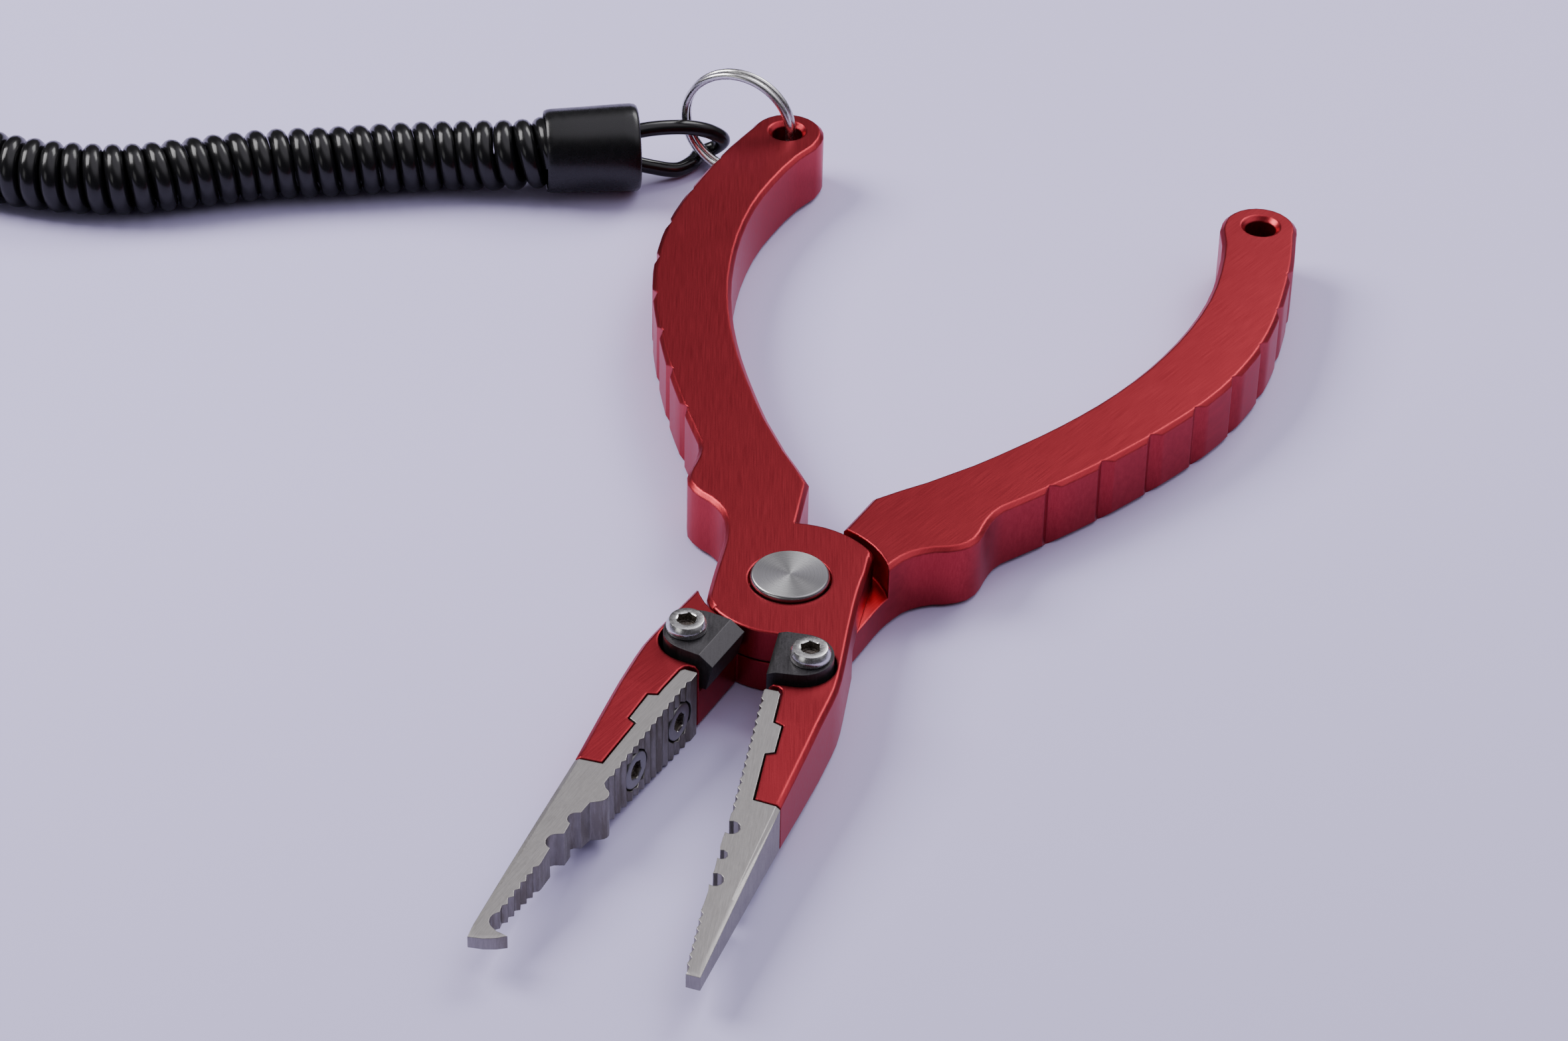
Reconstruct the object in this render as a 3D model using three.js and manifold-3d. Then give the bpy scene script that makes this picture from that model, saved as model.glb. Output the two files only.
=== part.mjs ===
// Fishing pliers with a coil lanyard. Millimetres, +Z up.
// Origin: the pivot axis, on the plane that the pliers lie on. Handles point to +Y, jaws to -Y.
// The upper half has its handle on -X and its jaw on +X. The lower half is its mirror image with
// the lap turned over. The pliers are drawn open, as their spring holds them.

import * as THREE from 'three';
import { mergeVertices } from 'three/addons/utils/BufferGeometryUtils.js';
import Module from 'manifold-3d';

const wasm = await Module();
wasm.setup();

// ---------- driving dimensions ----------
const THICK = 10;            // handle and jaw plate
const MID = THICK / 2;
const LAP_GAP = 0.3;         // between the two laps, filled by the thrust washer
const CHAMFER = 0.6;         // all round the plate, top and bottom
const LAP_ARC_BACK = 12.9;   // lap edge that faces the other handle
const LAP_ARC_FRONT = 12.0;  // lap edge that faces the other jaw
const SHOULDER_BACK = 13.5;  // hollow shoulder round that lap edge
const SHOULDER_FRONT = 12.5;

const TAPER_START = -27.5;   // the jaws thin down from here to the tip
const TAPER = 0.083;         // height lost on each side for each millimetre forward
const TOOTH = { x: 4.5, y: -23.1, slope: 0.162 };
const TOOTH_PITCH = 1.5;
const TOOTH_DEPTH = 0.4;

const GROOVE_START = 7.1;    // along the grip, from the end of the finger guard
const GROOVE_PITCH = 9.62;
const GROOVE_COUNT = 8;
const GROOVE_DEPTH = 0.7;

const PIVOT = { headR: 5.3, proud: 0.8, seat: 7.9, shankR: 2.3, boreR: 2.6, sinkR: 5.6 };
const NUT = { r: 4.4, height: 2.05, sinkR: 4.7 };
const SPRING = { r: 7.4, wire: 0.45, turns: 2.4, pitch: 1.0, inner: 6.3, outer: 8.6, depth: 1.5 };
const HOLE = { x: -37.2, y: 105.9, r: 2.3, bevel: 0.65 };
// The relief for the ring, angles at the hole.
const TAB = { r: 16, top: 4.0, from: 118, to: 212, half: 2.0 };

const CUTTER = { top: THICK + 1.4, floor: 6, x: 7.25, y: -16.5, r: 4.3 };
const CUTTER_SCREW = { x: 8.5, y: -16.6, shankR: 1.5 };
const INSERT_SCREW_Y = [-27.6, -38.6];
const RING = { x: -45.34, y: 106.2, z: 9.25, r: 8.5, wire: 0.58, turnGap: 1.2, heading: -2 };

const CORD_R = 1.4;
const COIL = { r: 3.95, pitch: 3.1, steps: 10 };
const CABLE_R = 1.15;
const CLIP_Y = 60;
const CLIP_Z = 4.4;
const GATE = { x: -212.6, y: CLIP_Y + 4.9 };

const SEGMENTS = 30;         // facets of a full turn on the larger round parts

// ---------- solids ----------
function solid(geometry) {
  const plain = geometry.index ? geometry.toNonIndexed() : geometry.clone();
  plain.deleteAttribute('normal');
  plain.deleteAttribute('uv');
  const merged = mergeVertices(plain, 1e-4);
  const mesh = new wasm.Mesh({
    numProp: 3,
    vertProperties: new Float32Array(merged.attributes.position.array),
    triVerts: new Uint32Array(merged.index.array),
  });
  return new wasm.Manifold(mesh);
}

function geometryOf(manifold) {
  const mesh = manifold.getMesh();
  const geometry = new THREE.BufferGeometry();
  geometry.setAttribute('position', new THREE.BufferAttribute(new Float32Array(mesh.vertProperties), 3));
  geometry.setIndex(new THREE.BufferAttribute(new Uint32Array(mesh.triVerts), 1));
  return geometry;
}

function box(x0, x1, y0, y1, z0, z1) {
  const geometry = new THREE.BoxGeometry(x1 - x0, y1 - y0, z1 - z0);
  geometry.translate((x0 + x1) / 2, (y0 + y1) / 2, (z0 + z1) / 2);
  return solid(geometry);
}

function cylinder(radius, z0, z1, x = 0, y = 0, segments = SEGMENTS) {
  const geometry = new THREE.CylinderGeometry(radius, radius, z1 - z0, segments);
  geometry.rotateX(Math.PI / 2);
  geometry.translate(x, y, (z0 + z1) / 2);
  return solid(geometry);
}

// A solid of revolution about the Z axis from [radius, height] points.
function lathe(points, segments = SEGMENTS) {
  const geometry = new THREE.LatheGeometry(points.map(([r, z]) => new THREE.Vector2(r, z)), segments);
  geometry.rotateX(Math.PI / 2);
  return geometry;
}

// An upright plate from a list of [x, y] points, with an optional chamfer top and bottom.
function plate(points, z0, z1, chamfer = 0) {
  const shape = new THREE.Shape(points.map(([x, y]) => new THREE.Vector2(x, y)));
  const geometry = new THREE.ExtrudeGeometry(shape, {
    depth: z1 - z0 - 2 * chamfer,
    bevelEnabled: chamfer > 0,
    bevelThickness: chamfer,
    bevelSize: chamfer,
    bevelOffset: -chamfer,
    bevelSegments: 1,
    curveSegments: 1,
    steps: 1,
  });
  geometry.translate(0, 0, z0 + chamfer);
  return geometry;
}

// ---------- curves ----------
const smooth = (points, count) => new THREE.SplineCurve(points.map(([x, y]) => new THREE.Vector2(x, y)))
  .getSpacedPoints(count).map((point) => [point.x, point.y]);

function arc(x, y, radius, from, to, count) {
  return Array.from({ length: count + 1 }, (_, i) => {
    const angle = THREE.MathUtils.degToRad(from + (to - from) * i / count);
    return [x + radius * Math.cos(angle), y + radius * Math.sin(angle)];
  });
}

// A round bar along a list of 3-D points.
function bar(points, radius, steps, sides) {
  const curve = new THREE.CatmullRomCurve3(points.map((point) => new THREE.Vector3(...point)));
  return barAlong(curve, radius, steps, sides);
}

function barAlong(curve, radius, steps, sides) {
  const shape = new THREE.Shape(arc(0, 0, radius, 0, 360 - 360 / sides, sides - 1)
    .map(([x, y]) => new THREE.Vector2(x, y)));
  return new THREE.ExtrudeGeometry(shape, { steps, curveSegments: 1, bevelEnabled: false,
    extrudePath: curve });
}

// A straight prism along the line from a to b, 1 mm longer at each end. The profile is a list of
// [offset, z] points, where the offset is to the left of a line that is seen from above.
function beam(a, b, profile) {
  const along = new THREE.Vector3(b[0] - a[0], b[1] - a[1], 0);
  const length = along.length();
  along.normalize();
  const across = new THREE.Vector3(-along.y, along.x, 0);
  const shape = new THREE.Shape(profile.map(([offset, z]) => new THREE.Vector2(offset, z)));
  const geometry = new THREE.ExtrudeGeometry(shape, { depth: length + 2, steps: 1, bevelEnabled: false });
  const up = new THREE.Vector3(0, 0, 1);
  const matrix = new THREE.Matrix4().makeBasis(across, up, along).setPosition(a[0] - along.x,
    a[1] - along.y, 0);
  return solid(geometry.applyMatrix4(matrix));
}

const prism = (points, z0, z1) => solid(plate(points, z0, z1));
const flipX = (manifold) => manifold.mirror([1, 0, 0]);

// ---------- outline of a half, drawn with the handle on +X and the jaw on -X ----------
const GUARD = smooth([[8.0, -8.95], [8.9, -7.8], [9.5, -5], [10.2, -1], [10.8, 3], [11.2, 5.2],
  [11.9, 7.6], [13.2, 10.4], [15.5, 12.6], [18, 13.8], [20, 15.4], [20.95, 17.6], [21.1, 20.5],
  [21.35, 23], [22.1, 25]], 24);
const GRIP_POINTS = [[22.1, 25], [26.2, 30.8], [31.5, 39], [36.3, 47.6], [40.5, 56.3], [43, 63], [44.3, 68.2],
  [45.3, 74], [45.7, 80], [45.5, 86.5], [44.7, 95], [43.9, 100.2], [42.7, 105.6]];
const GRIP = smooth(GRIP_POINTS, 26);
const HANDLE_END = arc(37.1, 105.6, 5.6, 8, 182, 12);
const HANDLE_INSIDE = smooth([[31.7, 103.2], [33.2, 98.8], [34.3, 92], [34.75, 85], [34.15, 77.2],
  [32.75, 69.8], [30.6, 62.3], [27.4, 54.3], [23.4, 46.6], [19.45, 40.2], [15.45, 34.2], [12.4, 30.3],
  [9.5, 26.7], [7.4, 24.5]], 22);
const LAP_BACK = arc(0, 0, LAP_ARC_BACK, 76.5, 127.8, 9);
const LAP_CORNER = arc(-6.5, 8.37, 2.3, 138, 175, 3);
const JAW_OUTSIDE = smooth([[-8.8, 8], [-9.2, 5], [-9.6, 2], [-10, -1], [-11.1, -7], [-12.1, -12],
  [-13, -16.5], [-13.5, -20], [-13.65, -25], [-13.75, -33], [-13.75, -42.9]], 20);
const LAP_FRONT = arc(0, 0, LAP_ARC_FRONT, -106, -50, 9);

const halfOutline = [...GUARD, ...GRIP.slice(1), ...HANDLE_END, ...HANDLE_INSIDE, [4.6, 21.2], ...LAP_BACK,
  ...LAP_CORNER, ...JAW_OUTSIDE, [-13.75, -46], [-8.6, -46], [-4.95, -23.2], [-3.3, -12.4], ...LAP_FRONT];

// ---------- jaw parts, drawn with the jaw on +X ----------
// The edge of the arm's pocket, from the back of the insert to the front of the arm.
const POCKET_EDGE = [[6.15, -22.15], [6.7, -22.45], [7.1, -23.3], [8.05, -28.8], [9.3, -29.15],
  [10.05, -34.3], [8.95, -34.9], [10.3, -42.75], [16, -43.05]];
const INSERT_EDGE = [[6.4, -23.02], [6.8, -23.45], [7.8, -29.05], [9.05, -29.4], [9.76, -34.1],
  [8.66, -34.72], [10.02, -43.02], [16, -43.3]];

const toothLine = (y) => TOOTH.x + TOOTH.slope * (TOOTH.y - y);

function sawTeeth(from, count, pitch, depth, lineX) {
  return Array.from({ length: count }, (_, i) => {
    const y = from - pitch * i;
    return [[lineX(y), y], [lineX(y - 0.45) + depth, y - 0.45]];
  }).flat();
}

const BACK_TEETH = [[4.75, -23.1], [4.6, -23.35], ...sawTeeth(-25, 14, TOOTH_PITCH, TOOTH_DEPTH, toothLine)];

const straightInside = [...BACK_TEETH, [8.3, -46.2],
  ...arc(9.15, -48.4, 1.15, 125, -115, 8), [8.75, -50.4], [8.95, -52],
  ...arc(9.6, -53.2, 0.8, 125, -115, 6), [9.45, -54.8], [9.65, -56],
  ...arc(10.3, -57.5, 1.1, 125, -115, 8), [10.15, -59.6], [10.35, -61.4],
  ...sawTeeth(-63, 7, 1.45, 0.4, (y) => 10.45 + 0.162 * (-63 - y)), [12.35, -73.2]];

const hookedInside = [...BACK_TEETH, [8.6, -46.2], ...arc(8.55, -48.2, 1.3, 110, 240, 6), [9.1, -50],
  [9.5, -52], ...arc(9.75, -53.2, 1.05, 80, -70, 6), [10.15, -56.1], ...arc(10.55, -57.7, 1.35, 75, -75,
  7), [11.0, -61.8], ...sawTeeth(-62.3, 6, 1.45, 0.5, (y) => 11.1 + 0.162 * (-62.3 - y)),
  ...arc(11.95, -72.4, 1.5, 60, -55, 6), ...arc(0, 0, 75.15, -80.95, -82.1, 2)];

const STRAIGHT_OUTSIDE = [[13.75, -20], [13.75, -43], [14, -60], [14.15, -73.35], [8, -73.35]];
const HOOKED_OUTSIDE = [[13.75, -20], [13.75, -43], [14.3, -55], [14.7, -65], [15, -74], [14.9, -76.1],
  [13, -75.8], [11.5, -75.2], [10.35, -74.45], [6, -72]];

// Everything in front of the taper's start thins towards the tip, the same from above and below.
function tapered(manifold) {
  const front = manifold.intersect(box(-60, 60, -90, TAPER_START, -1, THICK + 1));
  const back = manifold.subtract(box(-60, 60, -90, TAPER_START, -1, THICK + 1));
  const thinned = front.warp((vertex) => {
    const scale = 1 - 2 * TAPER * (TAPER_START - vertex[1]) / THICK;
    vertex[2] = MID + (vertex[2] - MID) * scale;
  });
  return back.add(thinned);
}

function toothScrewHoles() {
  return INSERT_SCREW_Y.map((y) => {
    const hole = cylinder(1.35, -5.9, 3, 0, 0, 16);
    const sink = cylinder(2.9, -1.7, 3, 0, 0, 24);
    return hole.add(sink).transform(toothFrame(y).elements);
  });
}

// A frame at the tooth line whose +Z points out of the jaw's toothed face.
function toothFrame(y) {
  const out = new THREE.Vector3(-1, -TOOTH.slope, 0).normalize();
  const up = new THREE.Vector3(0, 0, 1);
  const side = new THREE.Vector3().crossVectors(up, out);
  return new THREE.Matrix4().makeBasis(side, up, out).setPosition(toothLine(y), y, MID);
}

function insert(inside, outside) {
  const blank = solid(plate([...outside, [-2, -20]], 0, THICK, CHAMFER));
  const contour = prism([...inside, [10.3, -78], [16, -78], ...INSERT_EDGE.slice().reverse()], -1, THICK + 1);
  const holes = toothScrewHoles();
  return tapered(blank).intersect(contour).subtract(holes[0]).subtract(holes[1]);
}

// ---------- a half ----------
function grooves() {
  const points = GRIP_POINTS.map(([x, y]) => new THREE.Vector2(x, y));
  const curve = new THREE.SplineCurve(points);
  const length = curve.getLength();
  const at = (distance, outward) => {
    const point = curve.getPointAt(distance / length);
    const tangent = curve.getTangentAt(distance / length);
    return [point.x + tangent.y * outward, point.y - tangent.x * outward];
  };
  return Array.from({ length: GROOVE_COUNT }, (_, i) => {
    const start = GROOVE_START + GROOVE_PITCH * i;
    const cut = [at(start, 0), at(start + 1.25, -GROOVE_DEPTH), at(start + 3, 0), at(start + 3, 1.5),
      at(start, 1.5)];
    return flipX(prism(cut, -1, THICK + 1));
  });
}

// The plate with its handle on -X and its jaw on +X, before the lap is cut.
function halfBlank() {
  let blank = tapered(flipX(solid(plate(halfOutline, 0, THICK, CHAMFER))));
  const lip = flipX(solid(plate([...arc(0, 0, LAP_ARC_FRONT, -108, -52, 9), [6, -4], [-4, -4]], 0, THICK,
    0.2)));
  blank = blank.add(lip);
  for (const groove of grooves()) blank = blank.subtract(groove);
  blank = blank.subtract(prism([...POCKET_EDGE, [16, -60], [-10, -60], [0, -22.3]], -1, THICK + 1));
  const pocket = [[0, -12.2], ...arc(7.35, -16.8, 4.75, 98, -82, 14), [0, -22.6]];
  blank = blank.subtract(prism(pocket, CUTTER.floor, THICK + 1));
  blank = blank.subtract(cylinder(CUTTER_SCREW.shankR + 0.1, 1.5, THICK, CUTTER_SCREW.x, CUTTER_SCREW.y, 16));
  for (const hole of toothScrewHoles()) blank = blank.subtract(hole);
  return blank.subtract(laceHole());
}

function laceHole() {
  const points = [[0, -1], [HOLE.r + HOLE.bevel + 1, -1], [HOLE.r, HOLE.bevel], [HOLE.r, THICK - HOLE.bevel],
    [HOLE.r + HOLE.bevel + 1, THICK + 1], [0, THICK + 1]];
  return solid(lathe(points, 24).translate(HOLE.x, HOLE.y, 0));
}

// What is cut from one half to make room for the other half's lap.
function lapRoom(z0, z1) {
  const back = cylinder(SHOULDER_BACK, z0, z1, 0, 0, 48).intersect(box(-20, 20, -2, 20, z0, z1));
  const front = cylinder(SHOULDER_FRONT, z0, z1, 0, 0, 48).intersect(box(-20, 20, -20, 2, z0, z1));
  return back.add(front);
}

function springRoom(z0, z1) {
  return cylinder(SPRING.outer, z0, z1).subtract(cylinder(SPRING.inner, z0 - 1, z1 + 1));
}

function upperHalf() {
  const split = MID + LAP_GAP / 2;
  return halfBlank()
    .subtract(lapRoom(-1, split))
    .subtract(springRoom(split - 1, split + SPRING.depth))
    .subtract(cylinder(PIVOT.boreR, -1, THICK + 1, 0, 0, 24))
    .subtract(cylinder(PIVOT.sinkR, PIVOT.seat, THICK + 1, 0, 0, 48))
    .subtract(tabRoom());
}

function lowerHalf() {
  const split = MID - LAP_GAP / 2;
  return flipX(halfBlank()
    .subtract(lapRoom(split, THICK + 1))
    .subtract(springRoom(split - SPRING.depth, split + 1))
    .subtract(cylinder(PIVOT.boreR, -1, THICK + 1, 0, 0, 24))
    .subtract(cylinder(NUT.sinkR, -1, NUT.height + 0.15)));
}

// The ring runs under the handle's end in a fan-shaped relief that opens outwards and backwards.
function tabRoom() {
  const bevel = lathe([[0, TAB.top - 1], [HOLE.r + HOLE.bevel + 1, TAB.top - 1],
    [HOLE.r, TAB.top + HOLE.bevel], [0, TAB.top + HOLE.bevel]], 24);
  const [first, last] = [TAB.from, TAB.to].map((angle) => THREE.MathUtils.degToRad(angle));
  const edge = [[HOLE.x + TAB.half * Math.sin(first), HOLE.y - TAB.half * Math.cos(first)],
    [HOLE.x - TAB.half * Math.sin(last), HOLE.y + TAB.half * Math.cos(last)]];
  const room = prism([edge[0], ...arc(HOLE.x, HOLE.y, TAB.r, TAB.from - 8, TAB.to + 8, 9), edge[1]], -1,
    TAB.top);
  return room.add(solid(bevel.translate(HOLE.x, HOLE.y, 0)));
}

// ---------- screws, cutters, pivot ----------
// A socket head screw whose head's top is at z = 0 and whose shank points to -Z.
function socketScrew({ headR, headH, dome, shankR, length, key, keyDepth }) {
  const body = solid(lathe([[0, -length], [shankR, -length], [shankR, -headH], [headR, -headH],
    [headR, -dome], [headR - dome * 0.35, -dome * 0.35], [headR - dome, 0], [0, 0]], 18));
  return body.subtract(cylinder(key / Math.sqrt(3), -keyDepth, 1, 0, 0, 6));
}

function insertScrew(y, side) {
  const screw = socketScrew({ headR: 2.7, headH: 1.5, dome: 0.2, shankR: 1.2, length: 5.5, key: 2.4,
    keyDepth: 1 });
  const placed = screw.translate([0, 0, -0.15]).transform(toothFrame(y).elements);
  return side > 0 ? placed : flipX(placed);
}

function cutterScrew(side) {
  const screw = socketScrew({ headR: 2.75, headH: 1.65, dome: 0.9, shankR: CUTTER_SCREW.shankR, length: 9.5,
    key: 2.4, keyDepth: 1.3 });
  return screw.translate([CUTTER_SCREW.x * side, CUTTER_SCREW.y, CUTTER.top + 1.66]);
}

function cutterBlock(back, front) {
  const rim = arc(CUTTER.x, CUTTER.y, CUTTER.r, 98.9, -81.1, 16);
  return prism([back, ...rim, front], CUTTER.floor + 0.05, CUTTER.top)
    .subtract(cylinder(CUTTER_SCREW.shankR + 0.15, 0, 20, CUTTER_SCREW.x, CUTTER_SCREW.y, 20));
}

function cutterAnvil() {
  const back = [2.85, -12.75];
  const front = [4.2, -21.4];
  const bevel = beam(back, front, [[-1, 11.03], [0, 11.03], [1.15, 11.4], [1.15, 13], [-1, 13]]);
  return cutterBlock(back, front).subtract(bevel);
}

function cutterBlade() {
  const back = [1.75, -13.0];
  const front = [3.1, -21.6];
  const bevel = beam(back, front, [[-1, 9.4], [0, 10.1], [2.05, 11.4], [2.05, 13], [-1, 13]]);
  const undercut = beam(back, front, [[-1, 10.0], [0, 10.0], [1.2, 5], [-1, 5]]);
  return flipX(cutterBlock(back, front).subtract(bevel).subtract(undercut));
}

function pivotScrew() {
  const top = THICK + PIVOT.proud;
  return lathe([[0, 1.05], [PIVOT.shankR, 1.05], [PIVOT.shankR, PIVOT.seat + 0.05],
    [PIVOT.headR, PIVOT.seat + 0.05], [PIVOT.headR, top - 0.35], [PIVOT.headR - 0.25, top], [0, top]], 40);
}

function pivotNut() {
  return lathe([[0, 0], [NUT.r, 0], [NUT.r, NUT.height], [PIVOT.shankR + 0.05, NUT.height],
    [PIVOT.shankR + 0.05, 0.95], [0, 0.95]]);
}

function thrustWasher() {
  return lathe([[3, MID - 0.13], [5.9, MID - 0.13], [5.9, MID + 0.13], [3, MID + 0.13], [3, MID - 0.13]]);
}

function helix(radius, z0, rise, turns) {
  return new (class extends THREE.Curve {
    getPoint(t, target = new THREE.Vector3()) {
      const angle = 2 * Math.PI * turns * t;
      return target.set(radius * Math.cos(angle), radius * Math.sin(angle), z0 + rise * t);
    }
  })();
}

function returnSpring() {
  const rise = SPRING.turns * SPRING.pitch;
  return barAlong(helix(SPRING.r, MID - rise / 2, rise, SPRING.turns), SPRING.wire, 40, 5);
}

// ---------- lanyard ----------
// Two turns of wire side by side, standing in the hole of the tab.
function splitRing() {
  const geometry = barAlong(helix(RING.r, -RING.turnGap / 2 * 1.97, RING.turnGap * 1.97, 1.97), RING.wire,
    48, 6);
  geometry.rotateX(Math.PI / 2);
  geometry.rotateZ(THREE.MathUtils.degToRad(RING.heading));
  return geometry.translate(RING.x, RING.y, RING.z);
}

const nearLoop = [[-61.0, 96.2, 9.4], [-58.0, 99.2, 9.4], [-55.0, 102.0, 8.9], [-52.1, 104.7, 7.9],
  [-49.8, 107.1, 6.2], [-48.6, 108.7, 4.2], [-49.9, 109.1, 2.4], [-51.9, 107.8, 1.5], [-52.3, 105.0, 1.4],
  [-53.7, 102.1, 1.5], [-57.0, 99.7, 2.7], [-61.0, 97.6, 4.3]];
const farLoop = [[-179.5, 63.2, 6.6], [-183.5, 63.7, 6.1], [-188.5, 64.2, 5.2], [-193.5, 63.3, 4.6],
  [-196.4, 61.7, 4.4], [-196.9, 60, 4.4], [-196.4, 58.3, 4.4], [-193.5, 56.7, 4.6], [-188.5, 55.8, 5.2],
  [-183.5, 56.3, 6.1], [-179.5, 56.8, 6.6]];
const coilPath = [[-70.5, 92.43, 6.75], [-74.6, 90.6, 6.3], [-83.4, 88.2, 5.5], [-92.4, 84.3, 5.4],
  [-101.4, 79.6, 5.4], [-110.5, 75.2, 5.4], [-119, 69.8, 5.4], [-127.4, 64.4, 5.4], [-137, 61.2, 5.4],
  [-147.5, 60, 5.4], [-158, 60, 5.9], [-169.5, 60, 6.75]];

function sleeve(loop, mouth, back) {
  const a = new THREE.Vector3(...mouth);
  const b = new THREE.Vector3(...back);
  const length = a.distanceTo(b);
  const body = lathe([[0, 0], [5.9, 0], [6.55, 0.4], [6.75, 1.2], [6.4, length - 1], [6.3, length - 0.4],
    [6.1, length], [5.85, length], [5.85, length - 2.6], [0, length - 2.6]], 24);
  body.applyQuaternion(new THREE.Quaternion().setFromUnitVectors(
    new THREE.Vector3(0, 0, 1), b.clone().sub(a).normalize()));
  body.translate(...mouth);
  return solid(body).subtract(solid(bar(loop, CABLE_R + 0.15, 36, 7)));
}

// The cord winds round the path, a little more than its own thickness forward in each turn.
function coilCord() {
  const path = new THREE.CatmullRomCurve3(coilPath.map((point) => new THREE.Vector3(...point)));
  const length = path.getLength();
  const turns = Math.floor(length / COIL.pitch);
  const curve = new (class extends THREE.Curve {
    getPoint(t, target = new THREE.Vector3()) {
      const centre = path.getPointAt(t);
      const along = path.getTangentAt(t);
      const side = new THREE.Vector3(-along.y, along.x, 0).normalize();
      const up = new THREE.Vector3().crossVectors(along, side);
      const angle = 2 * Math.PI * turns * t;
      return target.copy(centre).addScaledVector(side, COIL.r * Math.cos(angle))
        .addScaledVector(up, COIL.r * Math.sin(angle));
    }
  })();
  return barAlong(curve, CORD_R, turns * COIL.steps, 5);
}

// ---------- snap clip, along -X from the far loop ----------
const alongX = (geometry, x) => geometry.rotateY(-Math.PI / 2).translate(x, CLIP_Y, CLIP_Z);

function clipSwivel() {
  const ring = arc(3.5, 0, 0.9, 0, 360, 10).map(([x, y]) => new THREE.Vector2(x, y));
  const eye = solid(new THREE.LatheGeometry(ring, 24).translate(-197, CLIP_Y, CLIP_Z));
  const stem = solid(alongX(lathe([[0, 0], [1.5, 0], [1.5, 6.6], [2.4, 6.6], [2.4, 8.2], [0, 8.2]], 16),
    -201));
  return eye.add(stem);
}

// A C-shaped hook: the collar on +X, the nose at the far end, the opening on +Y.
function clipHook() {
  const outer = [...arc(-214.5, CLIP_Y, 7, 90, -90, 10), ...arc(-234, CLIP_Y, 7, -90, -270, 12)];
  const inside = [...arc(-216, CLIP_Y - 0.3, 3.5, 90, -90, 6), ...arc(-233.5, CLIP_Y - 0.3, 3.5, -90,
    -270, 8)];
  const opening = [[-232.2, CLIP_Y + 9], [-216.2, CLIP_Y + 9], [-216.2, CLIP_Y], [-231, CLIP_Y],
    [-231, CLIP_Y + 4.3]];
  const fork = box(-217, -210.2, CLIP_Y + 0.5, CLIP_Y + 9, CLIP_Z - 1.4, CLIP_Z + 1.4);
  const collar = solid(alongX(lathe([[2.0, 0], [3.9, 0], [4.1, 0.3], [4.1, 6], [2.0, 6], [2.0, 0]], 24),
    -202.9));
  const cavity = solid(alongX(lathe([[0, -1], [2.0, -1], [2.0, 4.2], [2.8, 4.2], [2.8, 6.9], [0, 6.9]],
    20), -202.9));
  return solid(plate(outer, CLIP_Z - 2.5, CLIP_Z + 2.5, 0.6))
    .add(collar)
    .subtract(prism(inside, 0, 10))
    .subtract(prism(opening, 0, 10))
    .subtract(fork)
    .subtract(cavity)
    .subtract(cylinder(0.85, 0, 10, GATE.x, GATE.y, 16));
}

function clipGate() {
  const arm = [...arc(GATE.x, GATE.y, 1.7, 90, -90, 8), [-230.7, CLIP_Y + 3.4], [-230.9, CLIP_Y + 6.6]];
  return prism(arm, CLIP_Z - 1.1, CLIP_Z + 1.1).subtract(cylinder(0.95, 0, 10, GATE.x, GATE.y, 16));
}

const clipGatePin = () => cylinder(0.8, CLIP_Z - 2.5, CLIP_Z + 2.5, GATE.x, GATE.y, 16);

// ---------- materials ----------
function material(color, roughness, metalness) {
  return new THREE.MeshStandardMaterial({ color, roughness, metalness });
}

const redAnodised = () => material(0x9c2028, 0.42, 0.75);
const jawSteel = () => material(0xa8a7a6, 0.35, 0.95);
const carbide = () => material(0x4a4a4d, 0.5, 0.8);
const polishedSteel = () => material(0xc9c9cb, 0.22, 1.0);
const blackPlastic = () => material(0x111114, 0.3, 0.0);
const bronze = () => material(0xa9814a, 0.4, 0.9);

// ---------- assembly ----------
const group = new THREE.Group();
group.name = 'fishing_pliers';

function add(name, shape, finish) {
  const geometry = shape.isBufferGeometry ? shape : geometryOf(shape);
  const mesh = new THREE.Mesh(geometry, finish());
  mesh.name = name;
  group.add(mesh);
}

add('handle_half_upper', upperHalf(), redAnodised);
add('handle_half_lower', lowerHalf(), redAnodised);
add('jaw_insert_straight', insert(straightInside, STRAIGHT_OUTSIDE), jawSteel);
add('jaw_insert_hooked', flipX(insert(hookedInside, HOOKED_OUTSIDE)), jawSteel);
add('insert_screw_straight_back', insertScrew(INSERT_SCREW_Y[0], 1), polishedSteel);
add('insert_screw_straight_front', insertScrew(INSERT_SCREW_Y[1], 1), polishedSteel);
add('insert_screw_hooked_back', insertScrew(INSERT_SCREW_Y[0], -1), polishedSteel);
add('insert_screw_hooked_front', insertScrew(INSERT_SCREW_Y[1], -1), polishedSteel);
add('cutter_anvil', cutterAnvil(), carbide);
add('cutter_blade', cutterBlade(), carbide);
add('cutter_screw_anvil', cutterScrew(1), polishedSteel);
add('cutter_screw_blade', cutterScrew(-1), polishedSteel);
add('pivot_screw', pivotScrew(), polishedSteel);
add('pivot_nut', pivotNut(), polishedSteel);
add('thrust_washer', thrustWasher(), bronze);
add('return_spring', returnSpring(), polishedSteel);
add('split_ring', splitRing(), polishedSteel);
add('cable_loop_near', bar(nearLoop, CABLE_R, 36, 7), blackPlastic);
add('crimp_sleeve_near', sleeve(nearLoop, [-58.5, 98.2, 6.8], [-71.4, 92.0, 6.8]), blackPlastic);
add('coil_cord', coilCord(), blackPlastic);
add('crimp_sleeve_far', sleeve(farLoop, [-181.5, 60, 6.8], [-168.4, 60, 6.8]), blackPlastic);
add('cable_loop_far', bar(farLoop, CABLE_R, 32, 7), blackPlastic);
add('clip_swivel', clipSwivel(), polishedSteel);
add('clip_hook', clipHook(), polishedSteel);
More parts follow.
